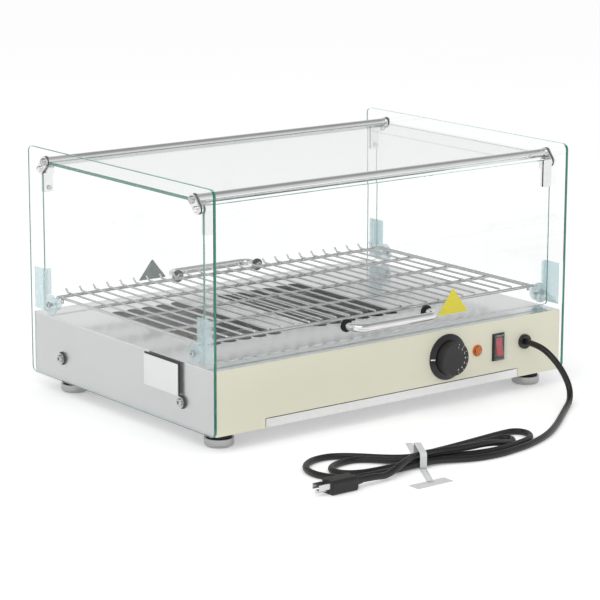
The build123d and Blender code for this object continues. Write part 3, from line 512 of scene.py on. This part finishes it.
def plug_moulding():
    finish = Finish("plug_moulding")
    own = finish.place((1, 1, 1))
    prong = finish.node("ShaderNodeSeparateXYZ", {}, {"Vector": own}, "X") < prong_start
    drift = finish.noise((1, 1, 1), 30.0, 4.0)
    black = finish.mix(drift, paint(20, 20, 21), paint(34, 34, 34))
    steel = finish.mix(drift, paint(196, 197, 198), paint(222, 222, 222))
    return finish.done(finish.shader(
        base_color=finish.mix(prong, black, steel), metallic=prong,
        roughness=0.45 + drift * 0.08 - prong * 0.28,
    ))


dress(plug_moulding(), "cord_plug")

# %% [markdown]
# The pilot lamp's lens is a pressed amber cap. Rings inside it break up the light of the lamp, so it
# shows pale and dark bands round its centre. The bands are worked out from the distance to its middle.

# %% Amber lens with pressed rings
lens_low, lens_high = (Vector(corner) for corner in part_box("lamp_lens"))
lens_centre = (lens_low + lens_high) / 2
ring_phase = 4200.0     # radians a metre, so a ring every 1.5 mm


def amber_lens():
    finish = Finish("amber_lens")
    own = finish.node("ShaderNodeTexCoord", {}, {}, "Object")
    away = finish.node("ShaderNodeVectorMath", {"operation": "DISTANCE"}, {0: own, 1: lens_centre}, "Value")
    rings = (away * ring_phase).math("SINE") * 0.5 + 0.5
    colour = finish.mix(rings, paint(150, 62, 8), paint(224, 128, 24))
    return finish.done(finish.shader(
        base_color=colour, roughness=0.18 + rings * 0.1, coat_weight=0.6,
        emission_color=finish.mix(rings, paint(90, 30, 4), paint(190, 84, 20)), emission_strength=0.15,
        normal=finish.bump(rings, 0.12, 0.5),
    ))


dress(amber_lens(), "lamp_lens")

# %% [markdown]
# The wires inside are a small bundle of insulated strands. The insulation is pale, and each strand takes
# a slightly different tint, here from noise.

# %% Wire insulation
dress(moulded("wire_insulation", (176, 168, 150), (206, 200, 186), 0.4, 400.0, 0.02), "wiring_loom")

# %% [markdown]
# Clear mouldings, such as the pegs, the door stops and the boot over the switch, are not as clear as
# glass: they are faintly blue, milky where they are seen at a slant, and let light through elsewhere.
# A layer weight between see-through and a soft white skin gives that without any slow refraction.

# %% Clear mouldings
def clear_moulding(name, veil, tint):
    finish = Finish(name)
    slant = finish.node("ShaderNodeLayerWeight", {}, {"Blend": 0.35}, "Facing")
    ripple = finish.noise((1, 1, 1), 160.0, 3.0)
    skin = finish.shader(
        base_color=finish.mix(ripple, paint(214, 228, 232), paint(242, 248, 250)),
        roughness=0.14 + ripple * 0.1, coat_weight=0.8, normal=finish.bump(ripple, 0.03, 0.4),
    )
    see_through = finish.node("ShaderNodeBsdfTransparent", {}, {"Color": paint(*tint)})
    share = (slant * slant * (0.7 - veil) + veil).math("MINIMUM", 0.8)
    return finish.done(finish.blend(share, see_through, skin))


dress(clear_moulding("clear_peg", 0.30, (244, 250, 251)), "rack_pegs")
dress(clear_moulding("clear_stop", 0.26, (242, 250, 251)), "door_stops")
dress(clear_moulding("clear_boot", 0.03, (254, 254, 254)), "switch_cover")

# %% [markdown]
# A piece that was forgotten renders grey and is easy to miss inside a case, so a list of the nodes that no
# finish has reached is printed. Three of them stay bare, because smooth pieces take their place.

# %% Every node has a finish
replaced = {"power_cord", "cord_hank", "cord_tie"}
left_over = sorted(set(nodes) - dressed - replaced)
print("nodes without a finish:", left_over)

# %% [markdown]
# New pieces are modelled as by hand: a primitive at its size and place, shaped in edit mode, finished by a
# modifier, and then its place is put into its mesh, so that the object itself sits at the origin like
# every other piece. Everything is deselected first, because an operator acts on all that is selected.

# %% Modelling helpers
sharp_from = math.radians(35)     # edges with a larger angle stay sharp


def start_clean():
    if bpy.context.mode != "OBJECT":
        bpy.ops.object.mode_set(mode="OBJECT")
    bpy.ops.object.select_all(action="DESELECT")


def bevel(piece, width_mm, segments=3):
    """rounds the edges of a finished form by a modifier"""
    rounding = piece.modifiers.new("rounding", "BEVEL")
    rounding.width = width_mm * MM
    rounding.segments = segments
    rounding.limit_method = "ANGLE"
    bpy.ops.object.modifier_apply(modifier=rounding.name)


def settle(piece, name, body, material):
    """place into the mesh, normals outwards, and a name, a body and a finish"""
    start_clean()
    piece.select_set(True)
    bpy.context.view_layer.objects.active = piece
    bpy.ops.object.transform_apply(location=True, rotation=True, scale=True)
    bpy.ops.object.mode_set(mode="EDIT")
    bpy.ops.mesh.select_all(action="SELECT")
    bpy.ops.mesh.remove_doubles(threshold=1e-6)
    bpy.ops.mesh.normals_make_consistent(inside=False)
    bpy.ops.object.mode_set(mode="OBJECT")
    bpy.ops.object.shade_smooth_by_angle(angle=sharp_from)
    piece.name = name
    piece.data.name = name
    piece.data.materials.clear()
    piece.data.materials.append(material)
    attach(piece, body)
    print(name, "vertices", len(piece.data.vertices))
    return piece


def slab(centre, size):
    """a block of this size, in metres, as the start of a flat piece"""
    start_clean()
    bpy.ops.mesh.primitive_cube_add(size=1.0, location=centre)
    piece = bpy.context.active_object
    piece.scale = size
    bpy.ops.object.transform_apply(location=False, rotation=False, scale=True)
    return piece


# %% [markdown]
# The plate on the left pane is a blank rectangle of white laminate. Behind it lies a dark sheet, a little
# larger at its top and front, which is painted shadow and shows as a dark line round the plate. Corners
# are rounded with a bevel, as a punched plate has them.

# %% Blank plate and its pad
pane_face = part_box("side_glass_left")[0][0]
plate_front = row_place((0, -130.5, 0)).y
plate_back = row_place((0, -58.5, 0)).y
plate_bottom = 0.058
plate_top = 0.097
plate_thickness = 1.2 * MM
shadow_sheet_thickness = 0.6 * MM
shadow_sheet_margin = 2.4 * MM
plate_size = Vector((plate_thickness, plate_back - plate_front, plate_top - plate_bottom))
plate_centre = Vector((
    pane_face - shadow_sheet_thickness - plate_thickness / 2,
    (plate_front + plate_back) / 2,
    (plate_bottom + plate_top) / 2,
))
plate = slab(plate_centre, plate_size)
bevel(plate, 0.5)
white_laminate = moulded("white_laminate", (236, 237, 237), (246, 246, 246), 0.3, 500.0, 0.01)
settle(plate, "blank_plate", "case", white_laminate)
# a dark sheet behind the plate, larger at its top and front: painted shadow round the plate
shadow_sheet = slab(
    (pane_face - shadow_sheet_thickness / 2, plate_centre.y - shadow_sheet_margin / 2, plate_centre.z + shadow_sheet_margin / 2),
    (shadow_sheet_thickness, plate_size.y + shadow_sheet_margin, plate_size.z + shadow_sheet_margin),
)
bevel(shadow_sheet, 0.25)
# the dark grey of this sheet is painted shadow
painted_shadow_finish = moulded("painted_shadow_finish", (52, 54, 56), (78, 80, 82), 0.7, 800.0, 0.04)
settle(shadow_sheet, "blank_plate_shadow_sheet", "case", painted_shadow_finish)

# %% [markdown]
# Each door has a plain yellow triangle stuck to its outer face. It starts as a filled circle of three
# corners, which are rounded and then pulled out to the thickness of a film. The rear one is seen through
# two panes from its glued side, so its material is grey where a face looks back into the case.

# %% Blank triangles on the doors
film = 0.3 * MM
corner_radius = 2.2 * MM


def triangle(centre_x, face_y, outwards, bottom, top, half_width, name, body, material):
    start_clean()
    bpy.ops.mesh.primitive_circle_add(vertices=3, radius=1.0, fill_type="NGON", location=(0, 0, 0))
    piece = bpy.context.active_object
    # the circle's corners are at its top and its lower left and right, so it is 1.5 radii tall
    tall = (top - bottom) / 1.5
    wide = half_width / math.cos(math.radians(30))
    piece.scale = (wide, tall, 1.0)
    bpy.ops.object.transform_apply(location=False, rotation=False, scale=True)
    bpy.ops.object.mode_set(mode="EDIT")
    bpy.ops.mesh.select_all(action="SELECT")
    bpy.ops.mesh.bevel(offset=corner_radius, segments=4, affect="VERTICES")
    bpy.ops.mesh.select_all(action="SELECT")
    bpy.ops.mesh.extrude_region_move(TRANSFORM_OT_translate={"value": (0, 0, film)})
    bpy.ops.object.mode_set(mode="OBJECT")
    piece.rotation_euler = (math.radians(90), 0, 0)
    piece.location = (centre_x, face_y + (0 if outwards < 0 else film), bottom + tall * 0.5)
    return settle(piece, name, body, material)


front_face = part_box("front_door_glass")[0][1]
rear_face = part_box("rear_door_glass")[1][1]


def sticker(name, outwards):
    """yellow film whose glued side, which shows through the glass, is grey and uneven"""
    finish = Finish(name)
    normal = finish.node("ShaderNodeTexCoord", {}, {}, "Normal")
    glued = finish.node("ShaderNodeSeparateXYZ", {}, {"Vector": normal}, "Y") * outwards < -0.5
    drift = finish.noise((1, 1, 1), 120.0, 4.0)
    glue = finish.mix(drift, paint(92, 108, 106), paint(146, 160, 156))
    print_side = finish.mix(drift, paint(238, 222, 54), paint(246, 234, 76))
    return finish.done(finish.shader(
        base_color=finish.mix(glued, print_side, glue), roughness=0.3 + drift * 0.12,
        normal=finish.bump(drift, 0.02, 0.3),
    ))


triangle(
    centre_x=0.109, face_y=front_face, outwards=-1,
    bottom=0.114, top=0.147, half_width=0.025,
    name="front_triangle", body="front_door", material=sticker("front_sticker", -1),
)
triangle(
    centre_x=-0.106, face_y=rear_face, outwards=1,
    bottom=0.125, top=0.152, half_width=0.022,
    name="rear_triangle", body="rear_door", material=sticker("rear_sticker", 1),
)

# %% [markdown]
# The dial's face carries plain numbers and short strokes, printed in white. Their circle is measured from
# the knob's own box, so that the marks sit on its face wherever the knob is.

# %% Dial: where its marks go
knob_low, knob_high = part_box("control_knob")
dial_x = (knob_low[0] + knob_high[0]) / 2
dial_z = (knob_low[2] + knob_high[2]) / 2
knob_face = knob_low[1]
print_thickness = 0.25 * MM
number_radius = 15.0 * MM
number_height = 3.6 * MM
stroke_radius = 18.9 * MM
stroke_size = (0.5 * MM, print_thickness, 1.8 * MM)
first_angle = 75.0
angle_step = -25.0
mark_count = 7
white_print = moulded("white_print", (232, 232, 230), (244, 244, 242), 0.5)
print("knob face at", round(knob_face, 4), "centre", round(dial_x, 4), round(dial_z, 4))

# %% [markdown]
# The numbers start as text objects, which become meshes before they are turned to face the front. The
# strokes are thin blocks on a wider circle. What is printed in one go becomes one piece, so they are
# joined. They ride on the knob and turn with it.

# %% Dial: numbers and strokes
def join_all(pieces):
    start_clean()
    for piece in pieces:
        piece.select_set(True)
    bpy.context.view_layer.objects.active = pieces[0]
    bpy.ops.object.join()
    return bpy.context.active_object


numbers = []
strokes = []
for i in range(mark_count):
    angle = math.radians(first_angle + angle_step * i)
    out = Vector((math.cos(angle), 0, math.sin(angle)))
    centre = Vector((dial_x, knob_face - print_thickness / 2, dial_z))
    start_clean()
    bpy.ops.object.text_add(location=(0, 0, 0))
    text = bpy.context.active_object
    text.data.body = str(i + 1)
    text.data.size = number_height
    text.data.align_x = "CENTER"
    text.data.align_y = "CENTER"
    text.data.extrude = print_thickness / 2
    text.data.resolution_u = 4
    bpy.ops.object.convert(target="MESH")
    text.rotation_euler = (math.radians(90), 0, 0)
    text.location = centre + out * number_radius
    bpy.ops.object.transform_apply(location=True, rotation=True, scale=True)
    numbers.append(text)
    stroke = slab(centre, stroke_size)
    bevel(stroke, 0.08, 2)
    stroke.rotation_euler = (0, math.pi / 2 - angle, 0)
    stroke.location = centre + out * stroke_radius
    bpy.ops.object.transform_apply(location=True, rotation=True, scale=True)
    strokes.append(stroke)
settle(join_all(numbers), "dial_numbers", "knob", white_print)
settle(join_all(strokes), "dial_strokes", "knob", white_print)

# %% [markdown]
# A white line on the fixed ring shows where the dial is set. The ring slopes, so the line is a thin block
# that is turned to lie on the slope.

# %% Pointer on the ring
bezel_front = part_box("dial_bezel")[0][1]
ring_outer = 29.5 * MM
ring_inner = 23.0 * MM
ring_rim = 1.4 * MM
panel_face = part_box("front_panel")[0][1]
slope_rise = (panel_face - bezel_front) - ring_rim
slope_run = ring_outer - ring_inner
slope = math.atan2(slope_rise, slope_run)
pointer_centre = Vector((
    dial_x - (ring_outer + ring_inner) / 2,
    bezel_front + slope_rise / 2 - 0.12 * MM,
    dial_z,
))
pointer_share = 0.8     # of the slope's length
pointer = slab(pointer_centre, (slope_run / math.cos(slope) * pointer_share, 0.3 * MM, 1.8 * MM))
bevel(pointer, 0.1, 2)
pointer.rotation_euler = (0, 0, -slope)
settle(pointer, "ring_pointer", "case", white_print)

# %% [markdown]
# Screw heads have a cross recess. The construction model leaves the heads plain, so a thin dark cross lies
# on each head. It is two bars with softened edges, the second a quarter turn round from the first.

# %% Cross recesses
recess_shadow = moulded("recess_shadow", (30, 30, 31), (50, 50, 52), 0.6)
recess_depth = 0.5 * MM
arm_share = 0.24
first_bar = 40.0
bolt_spread = 133.5     # millimetres to either side of mid depth
bolt_height = 0.051
bolt_cross = 5.6 * MM
peg_spread = 160.0
peg_height = 0.116
peg_cross = 4.2 * MM


def cross_on_side(centre, length):
    """a cross that faces along X"""
    bars = []
    for turn in (math.radians(first_bar), math.radians(first_bar + 90)):
        piece = slab(centre, (recess_depth, length, length * arm_share))
        bevel(piece, 0.2, 2)
        piece.rotation_euler = (turn, 0, 0)
        bpy.ops.object.transform_apply(location=False, rotation=True, scale=False)
        bars.append(piece)
    return join_all(bars)


def side_crosses(node, half_spread, height, length, name):
    """a cross on each screw head of a node whose heads face left and right"""
    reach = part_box(node)[1][0] - recess_depth * 0.3
    crosses = []
    for side in (-1, 1):
        for end in (-1, 1):
            y = row_place((0, end * half_spread, 0)).y
            crosses.append(cross_on_side(Vector((side * reach, y, height)), length))
    settle(join_all(crosses), name, "case", recess_shadow)


side_crosses("base_bolts", bolt_spread, bolt_height, bolt_cross, "bolt_recesses")
side_crosses("peg_screws", peg_spread, peg_height, peg_cross, "peg_screw_recesses")

# %% [markdown]
# The strap round the hank is a flat ladder of white nylon. It goes round the strands as a low band, one
# end lies on the counter and carries a bare tag, and the other lies flat behind the hank, because the tray
# slides out low over it. It is modelled along X at the origin, and then turned and moved to the waist.

# %% Hank strap: its sizes
strap_thickness = 1.0 * MM
strap_width = 8.0 * MM
strap_turn = math.radians(59)
strap_along = Vector((math.cos(strap_turn), math.sin(strap_turn), 0))
strap_place = row_place((waist_x, waist_y, 0))
strap_gap = 0.4
band_round = 4.5
strands_half = (outer_strand * strand_pitch + cord_diameter / 2 + strap_gap) * MM
strap_half = strands_half / math.sin(strap_turn) + strap_width / 2 / math.tan(strap_turn) + strap_thickness
strap_top = (cord_diameter + waist_lift + layer_rise + strap_gap) * MM + strap_thickness
window = 4.0 * MM
window_pitch = 6.5 * MM
window_start = 3.0 * MM
front_tail = 55.0 * MM
rear_tail = 62.0 * MM
tag_size = Vector((52.0 * MM, 16.0 * MM, strap_thickness))
print("strap half length and top, mm", round(strap_half / MM, 2), round(strap_top / MM, 2))

# %% [markdown]
# Each tail is a flat strip with a row of square windows. It is laid from blocks, two long rails and a rung
# after every window, which is simpler and cleaner than cutting holes into a strip.

# %% Hank strap: a ladder tail
def ladder(length):
    """a flat strip along X from the origin, with a row of square windows"""
    rail = (strap_width - window) / 2
    rail_size = (length, rail, strap_thickness)
    parts = [slab((length / 2, side * (strap_width - rail) / 2, 0), rail_size) for side in (-1, 1)]
    edge = 0.0
    for i in range(int((length - window_start) / window_pitch) + 1):
        rung_end = window_start + i * window_pitch
        rung = (rung_end - edge, window, strap_thickness)
        parts.append(slab(((edge + rung_end) / 2, 0, 0), rung))
        edge = rung_end + window
    last_rung = (length - edge + window, window, strap_thickness)
    parts.append(slab(((edge - window + length) / 2, 0, 0), last_rung))
    return join_all(parts)


def put(piece, place, turn):
    """turns a piece about the origin, moves it, and keeps both in its mesh"""
    start_clean()
    piece.select_set(True)
    bpy.context.view_layer.objects.active = piece
    bpy.ops.object.transform_apply(location=True, rotation=True, scale=True)
    piece.rotation_euler = turn
    piece.location = place
    bpy.ops.object.transform_apply(location=True, rotation=True, scale=True)
    return piece


# %% [markdown]
# The band starts as a block as high as the tied strands. Its two faces across the cord are deleted, its
# edges are rounded, and the sheet that is left is made as thick as the strap, inwards.

# %% Hank strap: the band
band = slab((0, 0, strap_top / 2), (2 * strap_half, strap_width, strap_top))
bpy.ops.object.mode_set(mode="EDIT")
bpy.ops.mesh.select_mode(type="FACE")
bpy.ops.mesh.select_all(action="DESELECT")
bpy.ops.object.mode_set(mode="OBJECT")
for face in band.data.polygons:
    face.select = abs(face.normal.y) > 0.9
bpy.ops.object.mode_set(mode="EDIT")
bpy.ops.mesh.delete(type="FACE")
bpy.ops.mesh.select_mode(type="VERT")
bpy.ops.object.mode_set(mode="OBJECT")
bevel(band, band_round, 5)
shell = band.modifiers.new("thickness", "SOLIDIFY")
shell.thickness = strap_thickness
shell.offset = -1
bpy.ops.object.modifier_apply(modifier=shell.name)
print("band vertices", len(band.data.vertices))

# %% [markdown]
# The tails start inside the band's wall and lie on the counter, one to each side. Band and tails are then
# turned and moved as one. The tag is a plain slab over the end of the front tail, square to the case.

# %% Hank strap: tails and tag
tail_root = strap_half - strap_thickness
front = put(ladder(front_tail), (-tail_root, 0, strap_thickness / 2), (0, 0, math.pi))
rear = put(ladder(rear_tail), (tail_root, 0, strap_thickness / 2), (0, 0, 0))
strap = put(join_all([band, front, rear]), strap_place, (0, 0, strap_turn))
tag_centre = strap_place - strap_along * (strap_half + front_tail) + Vector((0, 0, strap_thickness / 2))
tag = slab(tag_centre, tag_size)
strap_nylon = moulded("strap_nylon", (218, 219, 219), (234, 235, 235), 0.40, 300.0, 0.04)
hank_strap = settle(join_all([strap, tag]), "hank_strap", "case", strap_nylon)
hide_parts("cord_tie")

# %% [markdown]
# Where the cord leaves the case is turned into the model's frame, and the cord's name is printed.

# %% Cord: its facts
row_place(gland_exit)
print("cord facts", mains_cord.name)

# %% [markdown]
# The case stands on a wide pale floor, whose own colour keeps the shadows. What the camera, mirrors and
# glass see of it is lifted a little by a weak glow, so that the background comes out white.

# %% Floor
start_clean()
bpy.ops.mesh.primitive_plane_add(size=30.0, location=(0, 0, 0))
floor = bpy.context.active_object
floor.name = "floor"
floor_finish = Finish("pale_floor")
floor_tone = floor_finish.noise((1, 1, 1), 2.0)
floor_glow = 0.25


def ray(kind):
    return floor_finish.node("ShaderNodeLightPath", {}, {}, kind)


floor_seen = ray("Is Camera Ray").math("MAXIMUM", ray("Is Transmission Ray"))
floor_seen = floor_seen.math("MAXIMUM", ray("Is Glossy Ray"))
floor_matt = floor_finish.shader(
    base_color=floor_finish.mix(floor_tone, grey(253), grey(255)), roughness=1.0, specular_ior_level=0.0,
)
glow = floor_finish.node("ShaderNodeEmission", {}, {"Color": grey(255), "Strength": floor_glow})
no_glow = floor_finish.node("ShaderNodeEmission", {}, {"Color": grey(0), "Strength": 0.0})
floor_lift = floor_finish.blend(floor_seen, no_glow, glow)
floor_whole = floor_finish.node("ShaderNodeAddShader", {}, {0: floor_matt, 1: floor_lift})
floor.data.materials.append(floor_finish.done(floor_whole))
print("floor", [round(size, 1) for size in floor.dimensions])

# %% [markdown]
# A white sky lights the case from all round. The camera and the glass see it as plain white, and what it
# lights gets a slightly weaker one, so that pale surfaces don't clip.

# %% Sky
sky_for_light = 0.90
sky_for_camera = 1.0
world = bpy.data.worlds.new("white_studio")
bpy.context.scene.world = world
world.use_nodes = True
sky = world.node_tree
sky.nodes.clear()
sky_paths = sky.nodes.new("ShaderNodeLightPath")
seen = sky.nodes.new("ShaderNodeMath")
seen.operation = "MAXIMUM"
sky.links.new(sky_paths.outputs["Is Camera Ray"], seen.inputs[0])
sky.links.new(sky_paths.outputs["Is Transmission Ray"], seen.inputs[1])
sky_level = sky.nodes.new("ShaderNodeMix")
sky_level.inputs[2].default_value = sky_for_light
sky_level.inputs[3].default_value = sky_for_camera
sky.links.new(seen.outputs[0], sky_level.inputs[0])
print("sky", sky_for_light, "for light,", sky_for_camera, "for the camera")

# %% [markdown]
# Metal shows its form only by what it reflects. Mirrors therefore see a sky that is white near the horizon
# and darker overhead, as a studio's ceiling is, and polished rails get a dark line along them.

# %% Sky in mirrors
sky_near_horizon = 1.0
sky_overhead = 0.45
darkens_from = 0.35     # height of the direction, 0 at the horizon and 1 straight up
darkens_to = 0.8
mirror_direction = sky.nodes.new("ShaderNodeTexCoord")
mirror_parts = sky.nodes.new("ShaderNodeSeparateXYZ")
sky.links.new(mirror_direction.outputs["Generated"], mirror_parts.inputs[0])
ceiling = sky.nodes.new("ShaderNodeMapRange")
ceiling.interpolation_type = "SMOOTHSTEP"
ceiling.inputs["From Min"].default_value = darkens_from
ceiling.inputs["From Max"].default_value = darkens_to
ceiling.inputs["To Min"].default_value = sky_near_horizon
ceiling.inputs["To Max"].default_value = sky_overhead
sky.links.new(mirror_parts.outputs["Z"], ceiling.inputs["Value"])
mirror_level = sky.nodes.new("ShaderNodeMix")
sky.links.new(sky_paths.outputs["Is Glossy Ray"], mirror_level.inputs[0])
sky.links.new(sky_level.outputs[0], mirror_level.inputs[2])
sky.links.new(ceiling.outputs[0], mirror_level.inputs[3])
sky_shader = sky.nodes.new("ShaderNodeBackground")
sky.links.new(mirror_level.outputs[0], sky_shader.inputs["Strength"])
sky_out = sky.nodes.new("ShaderNodeOutputWorld")
sky.links.new(sky_shader.outputs[0], sky_out.inputs["Surface"])
print("mirrors see", sky_near_horizon, "to", sky_overhead)

# %% [markdown]
# One lamp from the upper left gives the case a bright side and a side in shade. It is large and far from
# strong, so that its shadow has no edge and the sky still does most of the lighting.

# %% Soft lamp
lamp_place = (-1.6, -1.2, 2.6)
lamp_size = 2.4
lamp_watts = 22.0
lamp_data = bpy.data.lights.new("soft_lamp", "AREA")
lamp_data.shape = "SQUARE"
lamp_data.size = lamp_size
lamp_data.energy = lamp_watts
lamp = bpy.data.objects.new("soft_lamp", lamp_data)
bpy.context.scene.collection.objects.link(lamp)
lamp.location = lamp_place
lamp.rotation_euler = (-lamp.location).to_track_quat("-Z", "Y").to_euler()
bpy.context.scene.view_settings.view_transform = "Standard"
print("lamp", lamp_size, "m,", lamp_watts, "W")

# %% [markdown]
# Last, nothing is left selected and the scene is brought up to date.

# %% Finish
start_clean()
bpy.context.view_layer.update()
